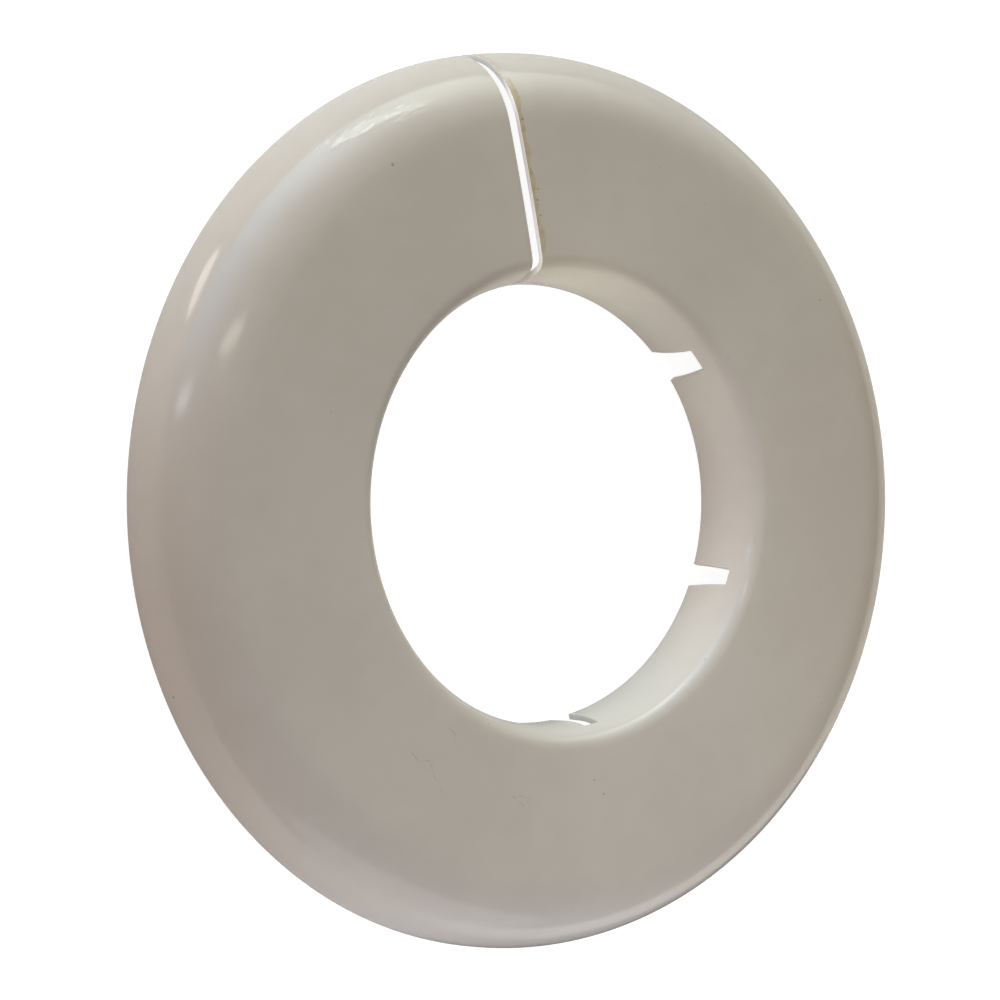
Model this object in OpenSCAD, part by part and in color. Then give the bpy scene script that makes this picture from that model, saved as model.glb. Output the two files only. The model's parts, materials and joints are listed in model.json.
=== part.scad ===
// Split escutcheon: a one-piece moulded ring that covers the hole in a wall, floor or ceiling
// where a pipe comes through. It is cut through once, springs open there, and closes round
// the pipe, which its fingers grip.
//
// Frame: Z is the pipe's axis, the wall is the plane Z = 0, and +Z points into the room.
// The slit lies at +Y.

/* [Pipe] */
// Outside diameter of the pipe that the ring closes round
pipe_d = 48.3; // [20:0.1:70]
// Gap all round between the pipe and the finger tips
grip_gap = 0.15; // [0:0.05:0.2]

/* [Plate] */
// Outside diameter, at the wall
plate_d = 100; // [80:0.5:160]
// Height of the face above the wall
plate_h = 9.8; // [6:0.1:20]
// Thickness of the moulding, the same all over
wall = 0.65; // [0.5:0.05:1.1]
// Radius of the slightly domed face, seen in section
face_r = 215; // [60:5:1000]
// Height of the side wall, below the round that leads up to the face
side_h = 1.15; // [0.2:0.05:4]
// Lean of the side wall towards the face, in degrees
draft = 3; // [0:0.5:10]

/* [Collar] */
// How much wider the mouth is than the finger tips, on the radius
mouth_flare = 3; // [2.1:0.05:6]
// Radius of the rounded edge where the collar meets the face
mouth_r = 1.9; // [0.3:0.05:2.6]
// Length of the straight band at the finger tips
grip_band = 1.5; // [0.5:0.1:3]
// Gap between the finger tips and the wall
tip_lift = 1.2; // [0:0.1:3]

/* [Fingers] */
// Number of fingers, all of one width: the slit parts two of them and slots part the rest
fingers = 6; // [3:1:12]
// Depth of each slot, from the finger tips
slot_depth = 6; // [1:0.1:7]
// Width of the two slots next to the slit, at the finger tips
near_slot_mouth = 4.1; // [1:0.1:6]
// Width of the two slots next to the slit, at their closed end
near_slot_end = 2.75; // [1:0.05:6]
// Width of the other slots, at the finger tips
far_slot_mouth = 2.4; // [1:0.1:6]
// Width of the other slots, at their closed end
far_slot_end = 1.8; // [1:0.05:6]

/* [Slit] */
// Width of the slit
slit_w = 1.3; // [0.2:0.05:4]

/* [Hidden] */
plastic = [0.80, 0.79, 0.76];
over = 1;
$fn = 180;
arc_fn = 720;

plate_r = plate_d / 2;
grip_r = pipe_d / 2 + grip_gap;
band_top = tip_lift + grip_band;

// The mouth's arc starts level at the crest, where the face starts
crest_r = grip_r + mouth_flare;
mouth_z = plate_h - mouth_r;

// The bell is the arc that is upright at the band and runs smoothly into the mouth's arc
bell_rise = mouth_z - band_top;
bell_r = (mouth_flare ^ 2 + bell_rise ^ 2 - mouth_r ^ 2) / (2 * (mouth_flare - mouth_r));
bell_x = grip_r + bell_r;
bell_lean = atan2(bell_rise, bell_x - crest_r);

// The rim is the arc that runs smoothly from the side wall's top to the domed face
face_z = plate_h - face_r;
side_top_x = plate_r - side_h * tan(draft);
to_side = [side_top_x - crest_r, side_h - face_z];
out = [cos(draft), sin(draft)];
rim_r = (face_r ^ 2 - to_side * to_side) / (2 * (face_r - to_side * out));
rim_x = side_top_x - rim_r * out.x;
rim_z = side_h - rim_r * out.y;
rim_lean = atan2(rim_x - crest_r, rim_z - face_z);

// Half section of the ring as if it were solid, drawn inset by a distance all along its face,
// rim, side wall, mouth and collar, and down to the height low
module filled_section(inset, low) {
    rim = rim_r - inset;
    mouth = mouth_r - inset;
    side_x = rim_x + rim * out.x;
    side_z = rim_z + rim * out.y;
    foot_x = side_x + (side_z - low) * tan(draft);
    intersection() {
        translate([crest_r, face_z]) circle(face_r - inset, $fn = arc_fn);
        translate([crest_r, low]) square([rim_x + rim * sin(rim_lean) - crest_r, plate_h - low]);
    }
    intersection() {
        translate([rim_x, rim_z]) circle(rim);
        translate([crest_r, low]) square([plate_r, plate_h - low]);
    }
    polygon([[crest_r, low], [foot_x, low], [side_x, side_z], [rim_x, rim_z], [crest_r, side_z]]);
    if (mouth > 0)
        intersection() {
            translate([crest_r, mouth_z]) circle(mouth);
            translate([grip_r, mouth_z]) square([mouth_flare, mouth_r]);
        }
    intersection() {
        translate([bell_x, band_top]) circle(bell_r - inset, $fn = arc_fn);
        translate([grip_r, band_top])
            square([mouth_flare, bell_rise + mouth * sin(bell_lean)]);
    }
    translate([grip_r + inset, low]) square([mouth_flare - inset, band_top - low]);
}

// The thin-walled ring: face, rim, side wall and collar in one wall that is open at the back
module ring() {
    rotate_extrude() difference() {
        filled_section(0, 0);
        filled_section(wall, -over);
        translate([0, -over]) square([crest_r, tip_lift + over]);
    }
}

// Cutter for a slot that narrows from the finger tips to its closed end, at +Y
module slot(mouth_w, end_w) {
    translate([0, crest_r + wall, 0]) rotate([90, 0, 0])
        linear_extrude(mouth_flare + wall + over)
            polygon([
                [-mouth_w / 2, tip_lift - over], [mouth_w / 2, tip_lift - over],
                [mouth_w / 2, tip_lift], [end_w / 2, tip_lift + slot_depth],
                [-end_w / 2, tip_lift + slot_depth], [-mouth_w / 2, tip_lift]
            ]);
}

// Cutters for all the slots, evenly spaced from the slit
module slots() {
    for (i = [1 : fingers - 1]) {
        near = i == 1 || i == fingers - 1;
        rotate(i * 360 / fingers)
            slot(near ? near_slot_mouth : far_slot_mouth, near ? near_slot_end : far_slot_end);
    }
}

// Cutter for the slit, through face, rim and collar on one side of the pipe
module slit() {
    translate([-slit_w / 2, 0, -over]) cube([slit_w, plate_r + over, plate_h + 2 * over]);
}

module escutcheon() {
    color(plastic) difference() {
        ring();
        slots();
        slit();
    }
}

escutcheon();
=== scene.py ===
# %% [markdown]
# # A split escutcheon
#
# This lesson dresses a split escutcheon: the moulded plastic ring that hides the hole round a pipe
# where it leaves a wall or a floor. It springs open at one slit, closes round the pipe, and the slotted
# collar inside it grips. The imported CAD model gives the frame: its Z axis is the pipe's axis, the ring
# lies on its back rim at Z = 0, and the slit is at +Y. Everything below is in metres in that frame.

import json
from math import asin, atan2, cos, hypot, pi, radians, sin, tan

import bmesh
import bpy
from mathutils import Matrix, Vector


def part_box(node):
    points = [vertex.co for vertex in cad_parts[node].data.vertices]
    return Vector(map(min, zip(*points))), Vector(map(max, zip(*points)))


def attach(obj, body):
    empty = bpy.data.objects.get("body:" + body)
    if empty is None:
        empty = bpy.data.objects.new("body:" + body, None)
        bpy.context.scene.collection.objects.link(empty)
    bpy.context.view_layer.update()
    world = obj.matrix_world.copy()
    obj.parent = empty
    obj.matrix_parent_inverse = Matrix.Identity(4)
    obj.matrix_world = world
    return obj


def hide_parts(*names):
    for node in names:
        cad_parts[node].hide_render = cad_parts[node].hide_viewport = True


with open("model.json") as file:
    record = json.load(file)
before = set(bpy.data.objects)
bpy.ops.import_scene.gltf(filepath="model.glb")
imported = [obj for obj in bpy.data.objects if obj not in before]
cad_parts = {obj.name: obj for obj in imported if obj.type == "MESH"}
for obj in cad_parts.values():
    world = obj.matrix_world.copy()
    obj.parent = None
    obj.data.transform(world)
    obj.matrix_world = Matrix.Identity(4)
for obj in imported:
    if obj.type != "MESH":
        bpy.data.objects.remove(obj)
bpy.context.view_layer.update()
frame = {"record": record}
low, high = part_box("escutcheon")
print("CAD box, mm:", [round(1000 * (high[i] - low[i]), 2) for i in range(3)])

# %% [markdown]
# ## The sizes of the section
#
# The ring is one thin wall turned round the pipe's axis. Walking along its outside from the back rim, a
# low drafted side runs into a large round, then the nearly flat dome of the face, the small round of
# the mouth, and a bell that closes in on the pipe and ends in a short straight band. Every arc meets its
# neighbour at a tangent, so only a few sizes are free and the other centres follow from them.

# %% Sizes, in metres
MM = 0.001
PLATE_R = high.x
PLATE_H = high.z - 0.0002 * MM
GRIP_R = frame["record"]["mounts"][0]["dims"]["r_mm"] * MM
WALL = 0.65 * MM
FACE_R = 215 * MM
SIDE_H = 1.15 * MM
DRAFT = radians(3)
MOUTH_FLARE = 3 * MM
MOUTH_R = 1.9 * MM
BAND = 1.5 * MM
TIP_Z = 1.2 * MM
SLOT_TOP = TIP_Z + 6 * MM
SLIT_W = 1.3 * MM

BAND_TOP = TIP_Z + BAND
CREST_R = GRIP_R + MOUTH_FLARE
MOUTH_Z = PLATE_H - MOUTH_R
BELL_RISE = MOUTH_Z - BAND_TOP
BELL_R = (MOUTH_FLARE**2 + BELL_RISE**2 - MOUTH_R**2) / (2 * (MOUTH_FLARE - MOUTH_R))
BELL_X = GRIP_R + BELL_R
BELL_LEAN = atan2(BELL_RISE, BELL_X - CREST_R)
FACE_Z = PLATE_H - FACE_R
SIDE_X = PLATE_R - SIDE_H * tan(DRAFT)
side_dx = SIDE_X - CREST_R
side_dz = SIDE_H - FACE_Z
RIM_R = (FACE_R**2 - side_dx**2 - side_dz**2) / (2 * (FACE_R - side_dx * cos(DRAFT) - side_dz * sin(DRAFT)))
RIM_X = SIDE_X - RIM_R * cos(DRAFT)
RIM_Z = SIDE_H - RIM_R * sin(DRAFT)
RIM_LEAN = atan2(RIM_X - CREST_R, RIM_Z - FACE_Z)
print("radii, mm: rim", round(RIM_R / MM, 2), "mouth", round(MOUTH_R / MM, 2), "bell", round(BELL_R / MM, 2))

# %% [markdown]
# ## The camera
#
# The photograph looks at the ring's face from about 34 degrees to its left, through a longish lens. The
# camera is placed by its distance from the axis and turned so that the slit is near the top.

# %% Camera
YAW = radians(34.244)
PITCH = radians(0.045)
SLIT_TURN = radians(10.05)
SHIFT_X = 2.405 * MM
SHIFT_Y = -0.055 * MM
DISTANCE = 0.400
FOCAL_PX = 3568.2

to_view = Matrix.Rotation(PITCH, 3, "X") @ Matrix.Rotation(YAW, 3, "Y") @ Matrix.Rotation(SLIT_TURN, 3, "Z")
camera_data = bpy.data.cameras.new("camera")
camera_data.sensor_width = 36.0
camera_data.lens = FOCAL_PX * 36.0 / 1000
camera_data.clip_start = 0.01
camera_data.clip_end = 20
camera = bpy.data.objects.new("camera", camera_data)
bpy.context.scene.collection.objects.link(camera)
camera_place = to_view.transposed() @ Vector((-SHIFT_X, -SHIFT_Y, DISTANCE))
camera.matrix_world = Matrix.Translation(camera_place) @ to_view.transposed().to_4x4()
bpy.context.scene.camera = camera
print("camera at, mm:", [round(c / MM, 1) for c in camera_place], "lens", round(camera_data.lens, 1))

# %% [markdown]
# ## Helpers for working by hand
#
# An operator acts on whatever is selected, so a modeller spends half the time selecting. These helpers
# select vertices or faces by where they are, and turn what is selected about the pipe's axis. Without a
# window the rotate operator turns the other way, so its angle is given a minus sign.


# %% Selecting and turning
def start_edit(piece):
    bpy.ops.object.select_all(action="DESELECT")
    piece.select_set(True)
    bpy.context.view_layer.objects.active = piece
    bpy.ops.object.mode_set(mode="EDIT")


def end_edit():
    bpy.ops.object.mode_set(mode="OBJECT")


def select(kind, test):
    """Selects the vertices ("VERT") or faces ("FACE") whose place passes the test."""
    bpy.ops.mesh.select_mode(type=kind)
    bpy.ops.mesh.select_all(action="DESELECT")
    data = bpy.context.object.data
    mesh = bmesh.from_edit_mesh(data)
    found = 0
    for item in mesh.verts if kind == "VERT" else mesh.faces:
        place = item.co if kind == "VERT" else item.calc_center_median()
        if test(place):
            item.select_set(True)
            found += 1
    bmesh.update_edit_mesh(data)
    return found


def turn_selected(angle):
    bpy.ops.transform.rotate(value=-angle, orient_axis="Z", orient_type="GLOBAL", center_override=(0, 0, 0))


def bearing(place):
    """The angle of a place round the pipe's axis."""
    return atan2(place.y, place.x)


def reach(place):
    """The distance of a place from the pipe's axis."""
    return hypot(place.x, place.y)


# %% [markdown]
# ## Drawing the section
#
# A turner would make this ring from a template of its section. Here the template is drawn with one
# point: it is extruded along the straight parts and spun about the centre of each arc, always the same
# way round. So the arcs are true and tangent, as they are in the mould.


# %% The section
def straight_to(x, z):
    mesh = bmesh.from_edit_mesh(bpy.context.object.data)
    here = next(v.co for v in mesh.verts if v.select)
    bpy.ops.mesh.extrude_region_move(TRANSFORM_OT_translate={"value": (x - here.x, 0, z - here.z)})


def arc(x, z, angle, steps):
    bpy.ops.mesh.spin(steps=steps, angle=angle, center=(x, 0, z), axis=(0, 1, 0))


bpy.ops.object.select_all(action="DESELECT")
bpy.ops.mesh.primitive_plane_add(size=MM, location=(PLATE_R, 0, 0))
section = bpy.context.object
bpy.ops.object.transform_apply(location=True)
start_edit(section)
bpy.ops.mesh.select_all(action="SELECT")
bpy.ops.mesh.merge(type="CENTER")
straight_to(SIDE_X, SIDE_H)
arc(RIM_X, RIM_Z, pi / 2 - DRAFT - RIM_LEAN, 24)
arc(CREST_R, FACE_Z, RIM_LEAN, 10)
arc(CREST_R, MOUTH_Z, pi / 2 - BELL_LEAN, 14)
SLOT_LEAN = asin((SLOT_TOP - BAND_TOP) / BELL_R)
arc(BELL_X, BAND_TOP, BELL_LEAN - SLOT_LEAN, 3)
arc(BELL_X, BAND_TOP, SLOT_LEAN, 9)
straight_to(GRIP_R, TIP_Z + BAND / 2)
straight_to(GRIP_R, TIP_Z)
end_edit()
tip = min(section.data.vertices, key=lambda v: v.co.x).co
top = max(v.co.z for v in section.data.vertices)
print("section:", len(section.data.vertices), "points, top", round(top / MM, 3), "narrowest", round(tip.x / MM, 3))

# %% [markdown]
# ## Half sectors
#
# The ring repeats every 60 degrees: five slots and the slit. Each of them is the same on both sides of
# its middle, so three half sectors of 30 degrees are enough: one beside the slit, one beside a wide slot
# and one beside a narrow slot. Each starts at the middle of its cut, which lies on +X.
# The slots narrow towards the face, so that the core could be drawn out of the mould. Their sides are
# made by turning the edge's points about the axis, row by row, and spreading the next columns evenly.

# %% One half sector
STEP = radians(1.5)
COLUMNS = 20


def half_sector(name, cut_columns, top_z, edge, spread):
    """Spins the section by 30 degrees, takes the cut's columns away below top_z inside the mouth, and
    puts the next column on the cut's side. edge(reach, z) is the side's bearing."""
    bpy.ops.object.select_all(action="DESELECT")
    section.select_set(True)
    bpy.context.view_layer.objects.active = section
    bpy.ops.object.duplicate()
    sector = bpy.context.object
    sector.name = name
    start_edit(sector)
    bpy.ops.mesh.select_all(action="SELECT")
    bpy.ops.mesh.spin(steps=COLUMNS, angle=COLUMNS * STEP, center=(0, 0, 0), axis=(0, 0, -1))
    inside = PLATE_R + MM if top_z > PLATE_H else CREST_R
    gone = select("FACE", lambda p: bearing(p) < cut_columns * STEP and p.z < top_z and reach(p) < inside)
    bpy.ops.mesh.delete(type="FACE")
    bpy.ops.mesh.select_mode(type="VERT")
    mesh = bmesh.from_edit_mesh(sector.data)
    moves = []
    for v in mesh.verts:
        column = round(bearing(v.co) / STEP)
        in_cut = v.co.z < top_z + 1e-6 and reach(v.co) < inside
        if in_cut and cut_columns <= column < cut_columns + spread:
            side = edge(reach(v.co), v.co.z)
            share = (column - cut_columns) / spread
            aim = side + (STEP * (cut_columns + spread) - side) * share
            moves.append((v.index, aim - bearing(v.co)))
    for index, angle in moves:
        bpy.ops.mesh.select_all(action="DESELECT")
        mesh = bmesh.from_edit_mesh(sector.data)
        mesh.verts.ensure_lookup_table()
        mesh.verts[index].select_set(True)
        bmesh.update_edit_mesh(sector.data)
        turn_selected(angle)
    end_edit()
    print(name + ":", gone, "faces cut away,", len(moves), "points turned,", len(sector.data.polygons), "left")
    return sector


def slot_side(mouth, end):
    """The side of a slot that is mouth wide at the finger tips and end wide at its closed end."""

    def edge(r, z):
        share = (SLOT_TOP - z) / (SLOT_TOP - TIP_Z)
        return asin((end + (mouth - end) * share) / 2 / r)

    return edge


slit_half = half_sector("slit_half", 1, 2 * PLATE_H, lambda r, z: asin(SLIT_W / 2 / r), 1)
wide_half = half_sector("wide_half", 2, SLOT_TOP, slot_side(4.1 * MM, 2.75 * MM), 6)
narrow_half = half_sector("narrow_half", 1, SLOT_TOP, slot_side(2.4 * MM, 1.8 * MM), 5)

# %% [markdown]
# ## The whole skin
#
# Each half sector is copied to both sides of its cuts. The copy on the far side is mirrored by a
# negative scale. Then all twelve are joined and the points on their seams merged, which leaves one open
# skin with the slit at +Y. Its normals are made to agree and to point out of the plastic.

# %% Place, join and merge the half sectors
halves = []
for half, places in ((slit_half, [0]), (wide_half, [60, -60]), (narrow_half, [120, 180, -120])):
    for place in places:
        for side in (1, -1):
            bpy.ops.object.select_all(action="DESELECT")
            half.select_set(True)
            bpy.context.view_layer.objects.active = half
            bpy.ops.object.duplicate()
            copy = bpy.context.object
            copy.rotation_euler.z = radians(90 + place)
            copy.scale.y = side
            bpy.ops.object.transform_apply(location=False, rotation=True, scale=True)
            halves.append(copy)

bpy.ops.object.select_all(action="DESELECT")
for half in halves:
    half.select_set(True)
ring = halves[0]
bpy.context.view_layer.objects.active = ring
bpy.ops.object.join()
ring.name = "ring"
for leftover in (section, slit_half, wide_half, narrow_half):
    bpy.data.objects.remove(leftover)
start_edit(ring)
bpy.ops.mesh.select_all(action="SELECT")
bpy.ops.mesh.remove_doubles(threshold=0.002 * MM)
bpy.ops.mesh.select_all(action="SELECT")
bpy.ops.mesh.normals_make_consistent(inside=False)
end_edit()
face_up = max(ring.data.polygons, key=lambda f: f.center.z).normal.z
if face_up < 0:
    start_edit(ring)
    bpy.ops.mesh.select_all(action="SELECT")
    bpy.ops.mesh.flip_normals()
    end_edit()
print("skin:", len(ring.data.vertices), "points,", len(ring.data.polygons), "faces, face normal was", round(face_up, 2))

# %% [markdown]
# ## Sprung out of true
#
# A ring that has been sprung open and closed again isn't quite round any more. On this one the mouth
# has moved away from the slit by a fifth of a millimetre, and the tips of the two fingers opposite the
# slit stand out a little. Proportional editing gives both, because what is selected moves all the way
# and the plastic round it follows less and less. Distances are measured along the skin, so a finger
# bends at its root and leaves its neighbours alone.


# %% Push the mouth and two fingers
def push(test, move, size):
    """Moves the points that pass the test, and softly what lies within size of them along the skin."""
    start_edit(ring)
    found = select("VERT", test)
    bpy.ops.transform.translate(
        value=move,
        orient_type="GLOBAL",
        use_proportional_edit=True,
        use_proportional_connected=True,
        proportional_edit_falloff="SMOOTH",
        proportional_size=size,
    )
    end_edit()
    print("pushed", found, "points by, mm:", [round(d / MM, 2) for d in move])


def finger_tip(first, last):
    """A test for the tip of the finger between two bearings, in degrees."""
    low_end = TIP_Z + BAND / 2 + 1e-6
    return lambda p: reach(p) < CREST_R and p.z < low_end and radians(first) < bearing(p) < radians(last)


push(lambda p: reach(p) < CREST_R + MM, (0.08 * MM, -0.2 * MM, 0), 20 * MM)
push(finger_tip(-149, -90), (-0.06 * MM, -0.35 * MM, 0), 6 * MM)
push(finger_tip(-90, -31), (0.02 * MM, -0.2 * MM, 0), 6 * MM)

# %% [markdown]
# ## The wall and its edges
#
# The skin gets its wall on the inside, as the moulding has one wall thickness all over. The back rim is
# set flat on Z = 0. The edges at the rim, the slit and the slots get a small bevel, because no moulded
# edge is sharp and the thin line of light on it is what makes the cut look real.


# %% Wall and bevel
def apply_modifier(piece, kind, **settings):
    bpy.ops.object.select_all(action="DESELECT")
    piece.select_set(True)
    bpy.context.view_layer.objects.active = piece
    modifier = piece.modifiers.new(kind.lower(), kind)
    for name, value in settings.items():
        setattr(modifier, name, value)
    bpy.ops.object.modifier_apply(modifier=modifier.name)


apply_modifier(ring, "SOLIDIFY", thickness=WALL, offset=-1, use_even_offset=True, use_quality_normals=True)
start_edit(ring)
flat = select("VERT", lambda p: p.z < 0.2 * MM)
bpy.ops.transform.resize(value=(1, 1, 0), orient_type="GLOBAL", center_override=(0, 0, 0))
end_edit()
apply_modifier(ring, "BEVEL", width=0.04 * MM, segments=3, limit_method="ANGLE", angle_limit=radians(50))
bpy.ops.object.shade_smooth_by_angle(angle=radians(40))
print("ring:", flat, "points set on the rim plane,", len(ring.data.polygons), "faces")

# %% [markdown]
# ## Writing a finish as arithmetic
#
# A finish is a small calculation done at every point of a surface: how far is this point from the slit,
# is it within a speck, how dull is it here. Blender draws such a sum as nodes and wires. Two classes let
# it be written as a sum instead: adding two values adds a Math node and wires it up.


# %% Values and their nodes
class Value:
    """The output of a node. Arithmetic on it adds Math nodes to the same tree."""

    def __init__(self, nodes, socket):
        self.nodes = nodes
        self.socket = socket

    def math(self, operation, *terms):
        return self.nodes.add("ShaderNodeMath", {"operation": operation}, dict(enumerate(terms)))[0]

    def __add__(self, other):
        return self.math("ADD", self, other)

    def __radd__(self, other):
        return self.math("ADD", other, self)

    def __sub__(self, other):
        return self.math("SUBTRACT", self, other)

    def __rsub__(self, other):
        return self.math("SUBTRACT", other, self)

    def __mul__(self, other):
        return self.math("MULTIPLY", self, other)

    def __rmul__(self, other):
        return self.math("MULTIPLY", other, self)

    def __truediv__(self, other):
        return self.math("DIVIDE", self, other)

    def __pow__(self, other):
        return self.math("POWER", self, other)

    def __abs__(self):
        return self.math("ABSOLUTE", self)

    def at_least(self, other):
        return self.math("MAXIMUM", self, other)

    def at_most(self, other):
        return self.math("MINIMUM", self, other)

    def rise(self, start, end):
        """0 up to start, 1 from end on, and a soft step between them. A fall has start above end."""
        ends = {"Value": self, "From Min": start, "From Max": end}
        return self.nodes.add("ShaderNodeMapRange", {"interpolation_type": "SMOOTHSTEP"}, ends)[0]


class Nodes:
    """The node tree of a material or a world."""

    def __init__(self, owner):
        owner.use_nodes = True
        self.owner = owner
        self.tree = owner.node_tree

    def put(self, socket, value):
        if isinstance(value, Value):
            self.tree.links.new(value.socket, socket)
        else:
            socket.default_value = value

    def add(self, kind, settings, inputs):
        """Adds a node of that type, with its settings first and then its sockets. Returns its outputs."""
        node = self.tree.nodes.new(kind)
        for name, value in settings.items():
            setattr(node, name, value)
        for key, value in inputs.items():
            self.put(node.inputs[key], value)
        return [Value(self, socket) for socket in node.outputs]

    def feed(self, node_name, inputs):
        """Sets sockets of a node that the tree already has."""
        for key, value in inputs.items():
            self.put(self.tree.nodes[node_name].inputs[key], value)

    def vector(self, operation, *terms):
        return self.add("ShaderNodeVectorMath", {"operation": operation}, dict(enumerate(terms)))

    def blend(self, share, first, second):
        """A colour that is first where share is 0 and second where it is 1."""
        return self.add("ShaderNodeMix", {"data_type": "RGBA"}, {0: share, 6: first, 7: second})[2]

    def noise(self, place, size, detail, seed):
        """Smooth random values from 0 to 1, with patches of that size. Each seed reads another region."""
        region = self.vector("ADD", place, (83 * seed, 59 * seed, 37 * seed))[0]
        return self.add("ShaderNodeTexNoise", {}, {"Vector": region, "Scale": 1 / size, "Detail": detail})[0]


# %% [markdown]
# ## Where a point is
#
# The marks on this ring are placed as a person would measure them, in millimetres: across the slit, along
# it, up from the wall, out from the axis, and round it. The sums below turn the Object coordinates, which
# move with the piece, into these five lengths once, so that every mark can use them.

# %% Lengths on the plastic, in millimetres
plastic = Nodes(bpy.data.materials.new("warm_white_plastic"))
metres = plastic.add("ShaderNodeTexCoord", {}, {})[3]
place = plastic.vector("MULTIPLY", metres, (1 / MM, 1 / MM, 1 / MM))[0]
across, along, up = plastic.add("ShaderNodeSeparateXYZ", {}, {0: place})
out_from_axis = (across * across + along * along) ** 0.5
round_axis = along.math("ARCTAN2", along, across) * (180 / pi)
print("the plastic starts with", len(plastic.tree.nodes), "nodes")

# %% [markdown]
# ## The plastic's colour
#
# This is ordinary white moulding plastic that has aged to a warm grey white. Age and handling are never
# even, so two soft noises move the colour a little: a large one for the whole ring and a small one for
# the clouding inside it.

# %% Clouded warm white
AGED = (0.557, 0.527, 0.480, 1)
CLOUD = (0.535, 0.503, 0.455, 1)

large_cloud = plastic.noise(place, 22.0, 1.0, 1)
small_cloud = plastic.noise(place, 3.5, 2.0, 2)
clouding = (large_cloud * 0.6 + small_cloud * 0.4).rise(0.35, 0.65)
colour = plastic.blend(clouding, AGED, CLOUD)

# %% [markdown]
# ## The stain beside the slit
#
# Hands and tools open the ring at the slit, and glue or pipe paste creeps out there. A thin tan line has
# stayed along one side of the slit, wider in some places than in others, with a darker crust here and
# there and a few brown grains. Its width is a noise that changes only slowly, and the grains are small
# dots at listed places.

# %% Tan line, crust and brown grains
CUT_EDGE = 0.7
CREST = CREST_R / MM
TAN = (0.50, 0.43, 0.30, 1)
CRUST = (0.43, 0.35, 0.25, 1)
BROWN = (0.15, 0.10, 0.055, 1)

past_edge = across - 0.08 * out_from_axis.rise(48, 28) - CUT_EDGE
stain_width = 0.3 + 0.45 * plastic.noise(place, 2.4, 1.0, 3).rise(0.35, 0.6)
stain = (stain_width - past_edge).rise(-0.25, 0.15) * across.rise(0, CUT_EDGE) * along.rise(CREST - 0.4, CREST + 0.4)
stain = stain * (1 - 0.4 * along.rise(44, 48))
patchy = plastic.noise(place, 0.9, 2.0, 4)
colour = plastic.blend(stain * (0.65 + 0.35 * patchy.rise(0.35, 0.6)), colour, TAN)
colour = plastic.blend(stain * patchy.rise(0.56, 0.68) * 0.75, colour, CRUST)


def dot(x, y, z, radius):
    """1 within a small dot and 0 outside it."""
    return plastic.vector("DISTANCE", place, (x, y, z))[1].rise(radius, radius * 0.4)


def all_of(masks):
    """One mask that is as strong as the strongest of several."""
    strongest = masks[0]
    for mask in masks[1:]:
        strongest = strongest.at_least(mask)
    return strongest


GRAINS = ((1.07, 42.0, 9.29, 0.19), (1.48, 34.3, 9.67, 0.16), (1.25, 33.1, 9.71, 0.18), (1.32, 31.4, 9.76, 0.15))
grains = all_of([dot(*grain) for grain in GRAINS])
colour = plastic.blend(grains * 0.6, colour, BROWN)

# %% [markdown]
# ## Specks and hair lines
#
# White plastic shows every grain of dirt. A cell noise scatters faint specks: each cell has one point, and
# only the few points that happen to lie at the surface are seen. The larger marks of this one ring are
# then put where they are: grey specks, and fine hair-like scratches drawn as short lines that meet. A
# line's mask is the distance from the line, and a noise bends the lines and lets them come and go.

# %% Dirt
GREY = (0.20, 0.175, 0.145, 1)
CELL = 4.4

to_point = plastic.add("ShaderNodeTexVoronoi", {}, {"Vector": place, "Scale": 1 / CELL})[0] * CELL
colour = plastic.blend(to_point.rise(0.16, 0.05) * 0.35, colour, GREY)

SPECKS = (
    (-16.4, 39.2, 9.2, 0.28),
    (39.0, 16.6, 9.2, 0.18),
    (37.9, 21.2, 9.0, 0.15),
    (-48.3, -12.3, 1.8, 0.22),
    (-0.9, 49.0, 4.7, 0.20),
    (-2.4, -30.9, 9.8, 0.16),
    (-1.4, -32.7, 9.7, 0.18),
)
specks = all_of([dot(*speck) for speck in SPECKS])
colour = plastic.blend(specks * 0.55, colour, GREY)

wobble = (plastic.noise(place, 0.9, 1.0, 5) - 0.5) * 0.7
bent_across = across + wobble
bent_along = along - wobble


def hair_line(points, width):
    """1 on a thin line through points (x, y) on the face."""
    masks = []
    for (x0, y0), (x1, y1) in zip(points, points[1:]):
        dx = x1 - x0
        dy = y1 - y0
        from_x = bent_across - x0
        from_y = bent_along - y0
        share = ((from_x * dx + from_y * dy) / (dx * dx + dy * dy)).at_least(0).at_most(1)
        gap = ((from_x - share * dx) ** 2 + (from_y - share * dy) ** 2) ** 0.5
        masks.append(gap.rise(width, 0))
    return all_of(masks) * up.rise(9, 9.2)


HAIRS = (
    ((-25.2, -22.9), (-24.5, -23.9), (-23.2, -24.2), (-23.0, -24.8), (-22.9, -26.0), (-22.3, -26.8), (-22.2, -28.0)),
    ((-22.05, -17.1), (-21.95, -17.6), (-21.75, -17.9)),
    ((-20.1, -21.3), (-19.4, -22.2), (-19.8, -22.9)),
    ((-13.4, -30.2), (-12.8, -30.8), (-12.2, -31.5), (-11.3, -30.8)),
    ((-12.5, -30.4), (-11.6, -30.8)),
)
hairs = all_of([hair_line(points, 0.12) for points in HAIRS])
colour = plastic.blend(hairs * (0.08 + 0.25 * patchy.rise(0.4, 0.6)), colour, GREY)

# %% [markdown]
# ## Gloss, dents and the skin of the moulding
#
# The mould was polished, so lamps show in the plastic as bright streaks. Their edges tell how good the
# polish is. A fine ripple, the skin of every moulding, makes them waver. On one stretch of the rim the
# ring has been knocked, and there the streak breaks into short patches: shallow dents from a noise that
# is pulled long round the ring, and a finer brushing in them, painted paler: partly scuffing and partly a
# painted highlight along the streak.

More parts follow.
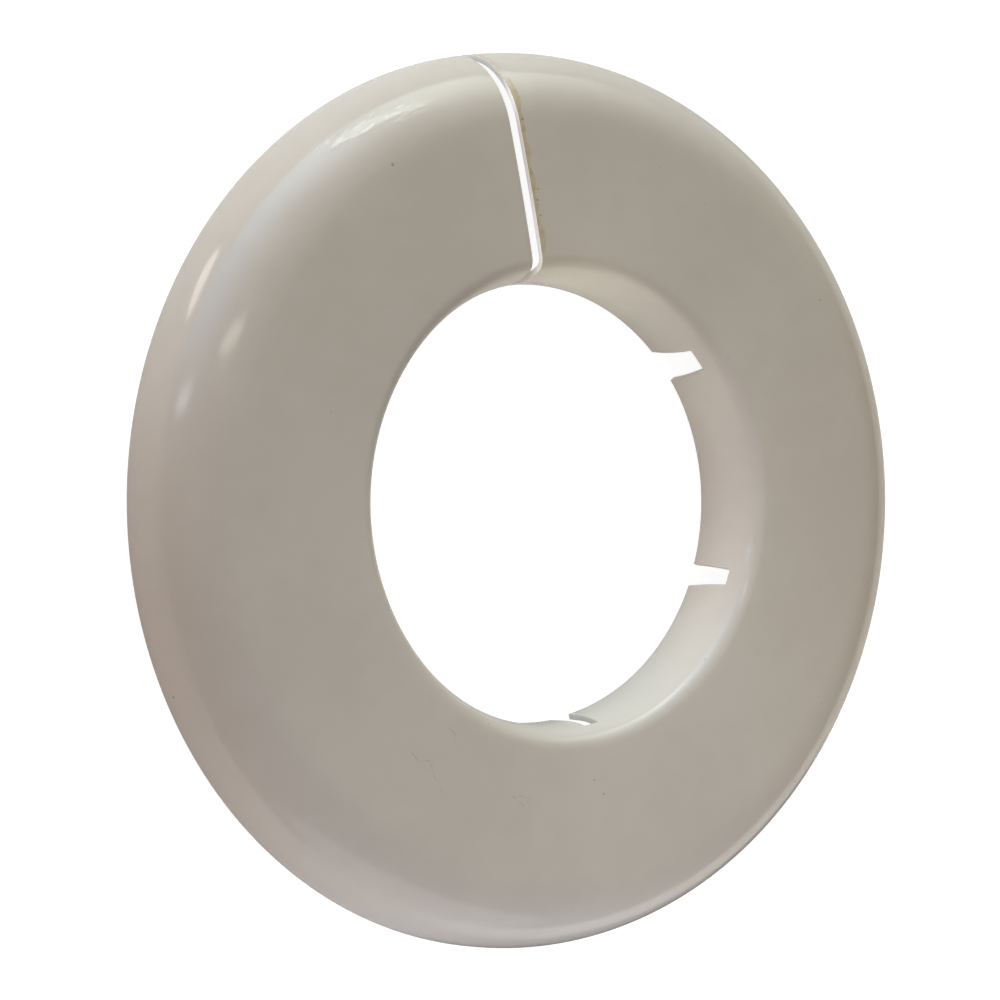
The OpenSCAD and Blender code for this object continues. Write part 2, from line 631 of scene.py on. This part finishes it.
# %% Roughness and bump
smudge = plastic.noise(place, 6.0, 2.0, 6).rise(0.4, 0.7)
fine_rub = plastic.noise(place, 0.7, 1.0, 7)
roughness = 0.10 + 0.05 * smudge + 0.03 * fine_rub

# A paler colour in patches on the knocked stretch, which follows the streak: partly scuffing, partly a painted
# highlight.
PALE_SCUFF_AND_HIGHLIGHT = (0.75, 0.73, 0.69, 1)
strip = up - 7.6 + 0.095 * (round_axis - 105)
knocked_highlight_strip = round_axis.rise(102, 105) * round_axis.rise(120.5, 118) * abs(strip).rise(0.9, 0.4)
knocked_highlight_strip = knocked_highlight_strip * out_from_axis.rise(38, 40)
round_length = round_axis * (radians(1) * 47)
pulled = plastic.add("ShaderNodeCombineXYZ", {}, {0: round_length / 5, 1: out_from_axis, 2: up})[0]
dents = plastic.noise(pulled, 0.7, 1.0, 8).rise(0.35, 0.7)
# Where the patches are painted paler.
scuffs_and_painted_highlight = knocked_highlight_strip * plastic.noise(pulled, 0.32, 2.0, 9).rise(0.5, 0.66)
colour = plastic.blend(scuffs_and_painted_highlight * 0.5, colour, PALE_SCUFF_AND_HIGHLIGHT)

ripple = plastic.noise(place, 1.6, 0.0, 11) * 0.004
height = ripple + knocked_highlight_strip * dents * 0.02
normal = plastic.add("ShaderNodeBump", {}, {"Strength": 1.0, "Distance": MM, "Height": height})[0]

plastic.feed("Principled BSDF", {"Base Color": colour, "Roughness": roughness, "Normal": normal, "IOR": 1.5})
print("the finished plastic has", len(plastic.tree.nodes), "nodes")

# %% [markdown]
# ## The cut walls
#
# Where the moulding ends in a cut, its section shows, and its light is painted: the slit's walls get a
# painted pale colour, and every cut wall a painted glow of Emission, on the slit stronger near the rim,
# near the mouth and high up, in place of light that soaks through a thin wall and comes out at its edge.
# Blender could trace that light, but on a wall this thin the Emission, only on the cuts, gives the same
# look for none of the time. The cut faces are known by their direction: they alone look round the ring.

# %% Slit and slot walls
# Painted light on the cut walls: the pale colour of the slit's walls and the colour of the painted glow.
PAINTED_PALE = (0.93, 0.915, 0.88, 1)
PAINTED_GLOW = (1.0, 0.975, 0.92, 1)
DARK = (0, 0, 0, 1)

cut = Nodes(bpy.data.materials.new("cut_plastic_painted_glow"))
cut_place = cut.vector("MULTIPLY", cut.add("ShaderNodeTexCoord", {}, {})[3], (1 / MM, 1 / MM, 1 / MM))[0]
cut_across, cut_along, cut_up = cut.add("ShaderNodeSeparateXYZ", {}, {0: cut_place})
in_slit = abs(cut_across).rise(0.9, 0.8) * cut_along.rise(0, 1)
# How strong the painted glow is: on the slit strongest near the rim, stronger near the mouth and up the wall; even on
# the slots.
slit_painted_glow = (0.18 + 0.28 * cut_along.rise(41, 45.5) + 0.1 * cut_along.rise(36, 30)) * (0.3 + 0.7 * cut_up.rise(7, 8.6))
painted_glow_share = in_slit * slit_painted_glow + (1 - in_slit) * 0.22
cut_glow = cut.blend(painted_glow_share, DARK, PAINTED_GLOW)
# The slit's walls take the painted pale colour, the slot walls keep the aged colour.
wall_colour = cut.blend(in_slit, AGED, PAINTED_PALE)
cut.feed("Principled BSDF", {"Base Color": wall_colour, "Roughness": 0.4, "IOR": 1.5})
cut.feed("Principled BSDF", {"Emission Color": cut_glow, "Emission Strength": 1.0})

ring.data.materials.clear()
ring.data.materials.append(plastic.owner)
ring.data.materials.append(cut.owner)
start_edit(ring)
bpy.ops.mesh.select_mode(type="FACE")
bpy.ops.mesh.select_all(action="DESELECT")
mesh = bmesh.from_edit_mesh(ring.data)
for face in mesh.faces:
    middle = face.calc_center_median()
    round_way = Vector((-middle.y, middle.x, 0)).normalized()
    face.select_set(abs(face.normal.dot(round_way)) > 0.9)
cut_faces = len([face for face in mesh.faces if face.select])
bmesh.update_edit_mesh(ring.data)
ring.active_material_index = 1
bpy.ops.object.material_slot_assign()
end_edit()
print("cut faces:", cut_faces)
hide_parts("escutcheon")
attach(ring, "root")

# %% [markdown]
# ## The floor
#
# The ring lies on a white floor that is also the background. To the light the floor is plain pale paper,
# which throws light back into the collar, but a band of it close to the ring's -Y side is painted dark: a
# painted shade on the ring's lower edge, there in its bounce and its reflection. To the camera it is
# nearly white by itself and takes only a little shade, so that the slit and the slots read as white gaps
# and the ring still stands in a soft shadow. Reflections in the gloss see a share of that white, and a
# larger share in a patch beside the ring towards -X and +Y: a painted reflection.

# %% Floor
bpy.ops.object.select_all(action="DESELECT")
bpy.ops.mesh.primitive_plane_add(size=6, location=(0, 0, 0))
floor = bpy.context.object
floor.name = "floor"
paper = Nodes(bpy.data.materials.new("floor_paper"))
rays = {output.socket.name: output for output in paper.add("ShaderNodeLightPath", {}, {})}
spot = paper.add("ShaderNodeTexCoord", {}, {})[3]
across_floor, along_floor = paper.add("ShaderNodeSeparateXYZ", {}, {0: spot})[:2]
from_middle = paper.vector("LENGTH", spot)[1]
# A painted shade: to the light and the gloss the paper is dark in a band close to the ring's -Y side.
painted_shade_band = along_floor.rise(-0.036, -0.044) * across_floor.rise(-0.032, -0.008) * from_middle.rise(0.064, 0.057)
paper_or_painted_shade = paper.blend(painted_shade_band, (0.85, 0.85, 0.85, 1), (0.05, 0.05, 0.05, 1))
# A painted reflection: beside the ring towards -X and +Y the paper shows more of its white to the gloss.
painted_reflection_patch = paper.vector("DISTANCE", spot, (-0.045, 0.065, 0))[1].rise(0.09, 0.03)
looks = rays["Is Camera Ray"] + rays["Is Transmission Ray"] + (0.05 + 0.3 * painted_reflection_patch) * (1 - painted_shade_band) * rays["Is Glossy Ray"]
lit = paper.add("ShaderNodeBsdfDiffuse", {}, {"Color": paper_or_painted_shade})[0]
shade = paper.add("ShaderNodeBsdfDiffuse", {}, {"Color": (0.25, 0.25, 0.25, 1)})[0]
white = paper.add("ShaderNodeEmission", {}, {"Color": (1, 1, 1, 1), "Strength": 0.94})[0]
shown = paper.add("ShaderNodeAddShader", {}, {0: shade, 1: white})[0]
seen = paper.add("ShaderNodeMixShader", {}, {0: looks, 1: lit, 2: shown})[0]
paper.feed("Material Output", {"Surface": seen})
floor.data.materials.append(paper.owner)

# %% [markdown]
# ## The room's light
#
# The ring is lit mostly from its upper side, low down, so its face stays the darkest part and the rims
# are bright. The room is a sum of soft glows. Each is strongest in one direction and fades all round it:
# the cosine of the angle from that direction, raised to a power that says how tight the glow is.


# %% Glows
def aim_at(azimuth, elevation):
    """The direction with that azimuth from +X towards +Y and that elevation, in degrees."""
    level = cos(radians(elevation))
    return Vector((level * cos(radians(azimuth)), level * sin(radians(azimuth)), sin(radians(elevation))))


GLOWS = (
    (60, 8, 8, (2.39, 2.46, 1.99)),
    (90, 8, 8, (1.19, 1.76, 2.14)),
    (120, 8, 8, (0.14, 0.70, 1.42)),
)
sky = Nodes(bpy.data.worlds.new("studio"))
bpy.context.scene.world = sky.owner
towards = sky.vector("NORMALIZE", sky.add("ShaderNodeTexCoord", {}, {})[0])[0]
light = (0, 0, 0)
for azimuth, elevation, tightness, tint in GLOWS:
    glow = sky.vector("DOT_PRODUCT", towards, tuple(aim_at(azimuth, elevation)))[1].at_least(0) ** tightness
    light = sky.vector("MULTIPLY_ADD", glow, tint, light)[0]
sky.feed("Background", {"Color": light, "Strength": 1.0})
print("glows:", len(GLOWS))

# %% [markdown]
# ## The lamps
#
# A studio splits its lamps in two kinds, and so does this one. Broad lamps give the plastic its light and
# are kept out of its gloss: one behind the top of the ring, one at its side, one close to its lower side, and a row of
# narrow beams that pass over the rim opposite and fall across the hole into the collar. Small lamps are
# seen only in the gloss, where each makes one streak. Their sizes and turns are those of the streaks, and
# one lies on the floor beside the ring, because its streak is where the side wall mirrors the floor.


# %% Lamps
def hang(name, kind, place, target, watts, tint):
    """A lamp of that kind at a place, facing a target. Its own X axis is level."""
    data = bpy.data.lights.new(name, kind)
    data.energy = watts
    data.color = tint
    lamp = bpy.data.objects.new(name, data)
    bpy.context.scene.collection.objects.link(lamp)
    away = (place - target).normalized()
    side = Vector((0, 0, 1)).cross(away).normalized()
    lamp.matrix_world = Matrix.Translation(place) @ Matrix((side, away.cross(side), away)).transposed().to_4x4()
    lamp.visible_camera = False
    return lamp


def width_of(angle, distance):
    return 2 * distance * tan(radians(angle / 2))


BROAD = (
    ("broad_top", 90, 20, 0.60, 40, 2.09, (1.0, 0.83, 0.68)),
    ("broad_side", 180, 20, 0.60, 40, 1.16, (1.0, 0.65, 0.38)),
    ("low_middle", -90, 25, 0.22, 50, 0.341, (0.76, 0.86, 1.0)),
    ("low_right", -45, 35, 0.22, 50, 0.088, (1.0, 0.51, 0.0)),
)
for name, azimuth, elevation, distance, angle, watts, tint in BROAD:
    lamp = hang(name, "AREA", distance * aim_at(azimuth, elevation), Vector(), watts, tint)
    lamp.data.shape = "DISK"
    lamp.data.size = width_of(angle, distance)
    lamp.visible_glossy = False

BEAM = radians(2.2)
BEAM_FALL = 19
BEAMS = (
    (85, 2.53, (1.0, 0.92, 0.63)),
    (65, 3.62, (0.93, 1.0, 0.83)),
    (25, 2.07, (0.90, 1.0, 0.88)),
    (5, 2.28, (0.94, 0.92, 1.0)),
    (-15, 2.12, (0.96, 0.98, 1.0)),
    (-35, 2.63, (1.0, 0.99, 0.98)),
    (-55, 2.55, (0.76, 0.90, 1.0)),
    (-75, 1.95, (0.71, 0.91, 1.0)),
    (-95, 1.36, (0.90, 1.0, 1.0)),
)
for towards_wall, watts, tint in BEAMS:
    target = 25.5 * MM * aim_at(towards_wall, 0) + Vector((0, 0, 4 * MM))
    place_above = target + 0.6 * aim_at(towards_wall + 180, BEAM_FALL)
    lamp = hang("beam_" + str(towards_wall % 360), "SPOT", place_above, target, watts, tint)
    lamp.data.spot_size = BEAM
    lamp.data.spot_blend = 1.0
    lamp.data.shadow_soft_size = 0.005
    lamp.visible_glossy = False

STREAKS = (
    ("streak_top", "ELLIPSE", 80.5, 17, (26, 7), -26, 0.15, (0.95, 1.0, 0.95)),
    ("streak_low", "ELLIPSE", -95, 14, (50, 34), 0, 0.36, (0.95, 0.95, 1.0)),
    ("streak_face", "ELLIPSE", 125.9, 55, (21, 4.5), -61, 0.115, (0.95, 1.0, 0.85)),
    ("streak_side", "ELLIPSE", 149.6, 17.9, (18, 4.5), -78, 0.095, (0.90, 0.95, 1.0)),
)
for name, shape, azimuth, elevation, angles, turn, watts, tint in STREAKS:
    lamp = hang(name, "AREA", 0.6 * aim_at(azimuth, elevation), Vector(), watts, tint)
    lamp.matrix_world = lamp.matrix_world @ Matrix.Rotation(radians(turn), 4, "Z")
    lamp.data.shape = shape
    lamp.data.size = width_of(angles[0], 0.6)
    lamp.data.size_y = width_of(angles[1], 0.6)
    lamp.visible_diffuse = False

on_floor = 69 * MM * aim_at(137.8, 0) + Vector((0, 0, 0.2 * MM))
lamp = hang("streak_floor", "AREA", on_floor, on_floor - Vector((0, 0, 1)), 0.0031, (1.0, 0.95, 0.88))
lamp.matrix_world = Matrix.Translation(on_floor) @ Matrix.Rotation(radians(227.8), 4, "Z") @ Matrix.Rotation(pi, 4, "X")
lamp.data.shape = "ELLIPSE"
lamp.data.size = 13 * MM
lamp.data.size_y = 21 * MM
lamp.visible_diffuse = False

scene = bpy.context.scene
scene.view_settings.view_transform = "Standard"
